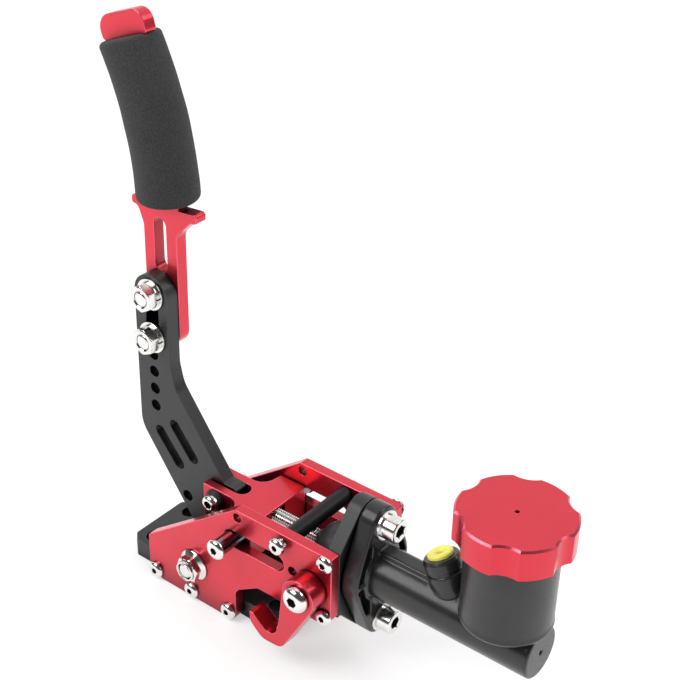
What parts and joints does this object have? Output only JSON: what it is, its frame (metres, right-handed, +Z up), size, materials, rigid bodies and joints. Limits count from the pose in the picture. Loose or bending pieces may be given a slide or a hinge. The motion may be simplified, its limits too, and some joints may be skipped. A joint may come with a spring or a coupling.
{
  "type": "hydraulic parking brake lever",
  "caption": "Upright hand lever on a boxed frame that pushes a flange-mounted master cylinder with a capped reservoir, with a swing-up hook that holds the brake on.",
  "frame": {"origin": "on the base plate's underside, below the lever's main pivot, in the part's middle plane", "axes": "+Z up, +X along the master cylinder away from the lever, +Y away from the side that carries the latch hook"},
  "size_m": [0.2796, 0.077, 0.2989],
  "materials": {
    "red_anodised": "bright red anodised aluminium, satin",
    "black_anodised": "black anodised aluminium, satin",
    "black_casting": "black coated casting, semi-gloss",
    "foam": "matt closed-cell foam",
    "rubber_black": "matt moulded rubber",
    "yellow_plastic": "soft yellow shipping plug",
    "bronze": "plain bearing bronze",
    "plain_aluminium": "machined aluminium",
    "zinc_steel": "bright zinc plated steel"
  },
  "bodies": {
    "frame": {"base_plate": "black_anodised", "base_screw_far_1": "zinc_steel", "base_screw_far_2": "zinc_steel", "base_screw_far_3": "zinc_steel", "base_screw_near_1": "zinc_steel", "base_screw_near_2": "zinc_steel", "base_screw_near_3": "zinc_steel", "bracket_screw_far_high": "zinc_steel", "bracket_screw_far_low": "zinc_steel", "bracket_screw_near_high": "zinc_steel", "bracket_screw_near_low": "zinc_steel", "cross_rod": "black_anodised", "cross_rod_screw_far": "zinc_steel", "cross_rod_screw_near": "zinc_steel", "cylinder_body": "black_casting", "dust_boot": "rubber_black", "flange_screw_high": "zinc_steel", "flange_screw_low": "zinc_steel", "flange_washer_high": "zinc_steel", "flange_washer_low": "zinc_steel", "front_bracket": "black_anodised", "latch_screw": "zinc_steel", "outlet_plug": "yellow_plastic", "pivot_bolt": "zinc_steel", "pivot_nut": "zinc_steel", "pivot_spacer_far": "zinc_steel", "pivot_spacer_near": "zinc_steel", "retaining_ring": "zinc_steel", "return_spring": "zinc_steel", "side_plate_far": "red_anodised", "side_plate_near": "red_anodised"},
    "lever": {"grip": "foam", "handle_bolt_high": "zinc_steel", "handle_bolt_low": "zinc_steel", "handle_nut_high": "zinc_steel", "handle_nut_low": "zinc_steel", "handle_plate": "red_anodised", "handle_spring_washer_high": "zinc_steel", "handle_spring_washer_low": "zinc_steel", "handle_washer_high": "zinc_steel", "handle_washer_low": "zinc_steel", "lever_arm": "black_anodised", "pivot_bush": "bronze"},
    "slider": {"piston": "plain_aluminium", "piston_seal_front": "rubber_black", "piston_seal_rear": "rubber_black", "pushrod": "zinc_steel", "slider_pin": "black_anodised", "slider_pin_screw_far": "zinc_steel", "slider_pin_screw_near": "zinc_steel"},
    "fork": {"fork": "red_anodised", "fork_pin": "zinc_steel", "fork_pin_bush_far": "black_anodised", "fork_pin_bush_near": "black_anodised", "fork_pin_nut": "zinc_steel"},
    "latch": {"latch_hook": "red_anodised"},
    "cap_lifter": {"cap_diaphragm": "rubber_black"},
    "cap": {"reservoir_cap": "red_anodised"}
  },
  "joints": [
    {"name": "lever_pivot", "type": "hinge", "parent": "frame", "child": "lever", "pos_m": [0, 0, 0.0233], "axis": [0, 1, 0], "range_deg": [0, 38]},
    {"name": "slider_travel", "type": "slide", "parent": "frame", "child": "slider", "axis": [1, 0, 0], "range_m": [0, 0.0187], "stiffness_N_per_m": 300, "springref_m": -0.01, "deforming": ["return_spring"]},
    {"name": "fork_pivot", "type": "hinge", "parent": "slider", "child": "fork", "pos_m": [0.0265, 0, 0.0543], "axis": [0, 1, 0], "range_deg": [-9.2, 0]},
    {"name": "latch_pivot", "type": "hinge", "parent": "frame", "child": "latch", "pos_m": [0.0778, -0.0339, 0.0508], "axis": [0, 1, 0], "range_deg": [0, 62]},
    {"name": "cap_lift", "type": "slide", "parent": "frame", "child": "cap_lifter", "axis": [0, 0, 1], "range_m": [0, 0.0045]},
    {"name": "cap_turn", "type": "hinge", "parent": "cap_lifter", "child": "cap", "pos_m": [0.1695, 0, 0.1254], "axis": [0, 0, 1], "range_deg": [0, 540]}
  ],
  "couplings": [
    {"joint": "slider_travel", "follows": "lever_pivot", "m_per_rad": 0.02804},
    {"joint": "fork_pivot", "follows": "lever_pivot", "ratio": -0.235},
    {"joint": "cap_turn", "follows": "cap_lift", "rad_per_m": 2094.2}
  ]
}
